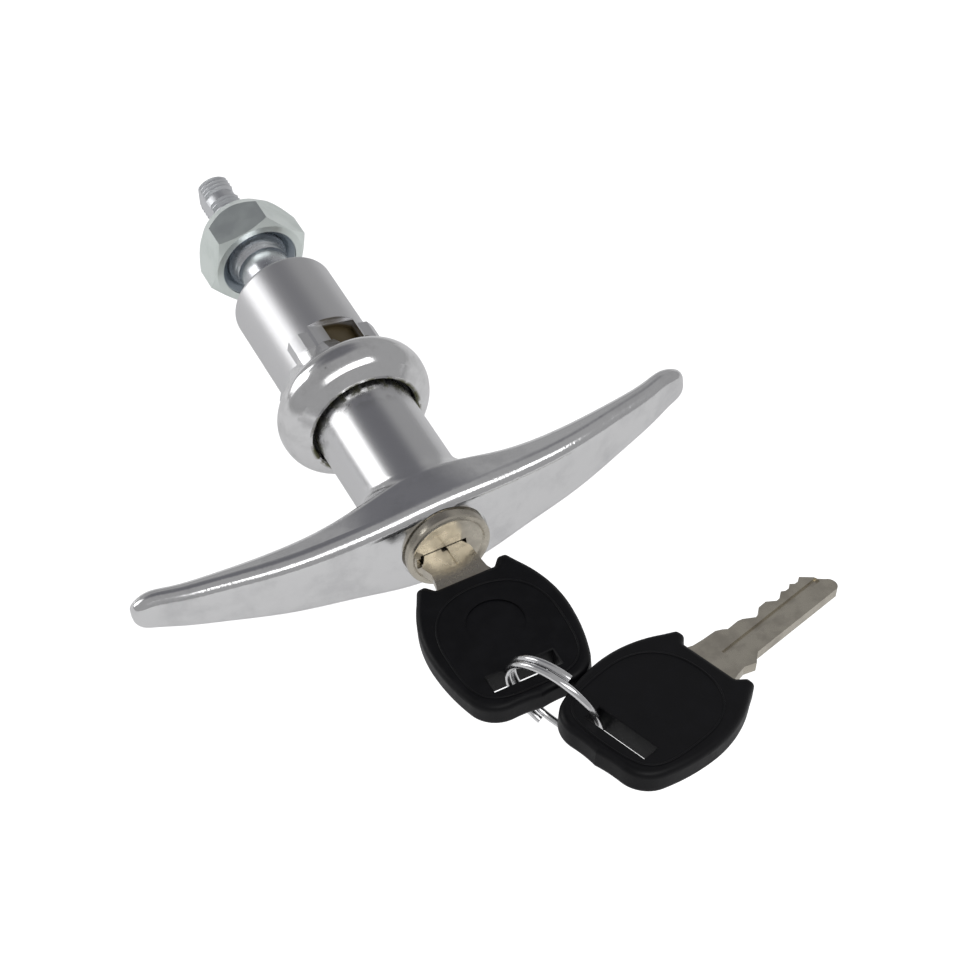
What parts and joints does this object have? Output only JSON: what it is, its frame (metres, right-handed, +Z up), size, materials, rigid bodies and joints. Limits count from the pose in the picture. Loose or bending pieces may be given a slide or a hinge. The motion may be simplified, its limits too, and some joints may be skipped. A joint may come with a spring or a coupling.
{
  "type": "engine lid lock",
  "caption": "Locking T-handle for an engine lid: crescent grip and shank turning in a flanged housing with barrel, spindle with nut, key cylinder and keys on a split ring.",
  "frame": {"origin": "on the shaft's axis, in the plane where the flange meets the lid", "axes": "+Y along the shaft into the lid, X along the T-bar, +Z up"},
  "size_m": [0.1123, 0.1701, 0.0296],
  "materials": {
    "chrome": "polished",
    "cast": "satin",
    "steel": "satin",
    "zinc": "zinc plated",
    "nickel": "nickel plated",
    "brass": "satin",
    "head": "fine grain",
    "seal": "matt",
    "wire": "bright"
  },
  "bodies": {
    "housing": {"housing": "chrome", "housing_bush": "brass", "stop_pin": "steel", "thrust_washer": "steel", "wave_washer": "steel"},
    "handle": {"handle": "chrome", "grease_seal": "seal", "spindle": "steel", "spindle_nut": "zinc", "cross_pin": "steel", "circlip": "steel", "plug_sleeve": "brass"},
    "plug": {"plug": "nickel", "plug_clip": "steel", "plug_tail": "steel", "wafers": "brass", "wafer_springs": "steel"},
    "bolt": {"lock_bolt": "brass"},
    "key_1": {"key_1_blade": "nickel", "key_1_head": "head"},
    "ring": {"key_ring": "wire"},
    "key_2": {"key_2_blade": "nickel", "key_2_head": "head"}
  },
  "joints": [
    {"name": "handle_turn", "type": "hinge", "parent": "housing", "child": "handle", "pos_m": [0, 0, 0], "axis": [0, 1, 0], "range_deg": [0, 90]},
    {"name": "plug_turn", "type": "hinge", "parent": "handle", "child": "plug", "pos_m": [0, 0, 0], "axis": [0, 1, 0], "range_deg": [0, 90]},
    {"name": "bolt_throw", "type": "slide", "parent": "handle", "child": "bolt", "axis": [0.2924, 0, 0.9563], "range_m": [0, 0.00227]},
    {"name": "key_slide", "type": "slide", "parent": "plug", "child": "key_1", "axis": [0, -1, 0], "range_m": [0, 0.024]},
    {"name": "ring_swing", "type": "hinge", "parent": "key_1", "child": "ring", "pos_m": [-0.0035, -0.0754, 0], "axis": [0, 0, 1], "range_deg": [-25, 0]},
    {"name": "key_2_swing", "type": "hinge", "parent": "ring", "child": "key_2", "pos_m": [0.00098, -0.08327, 0.002], "axis": [-0.8845, -0.441, -0.152], "range_deg": [0, 30]}
  ],
  "couplings": [
    {"joint": "bolt_throw", "follows": "plug_turn", "m_per_rad": 0.001439}
  ]
}
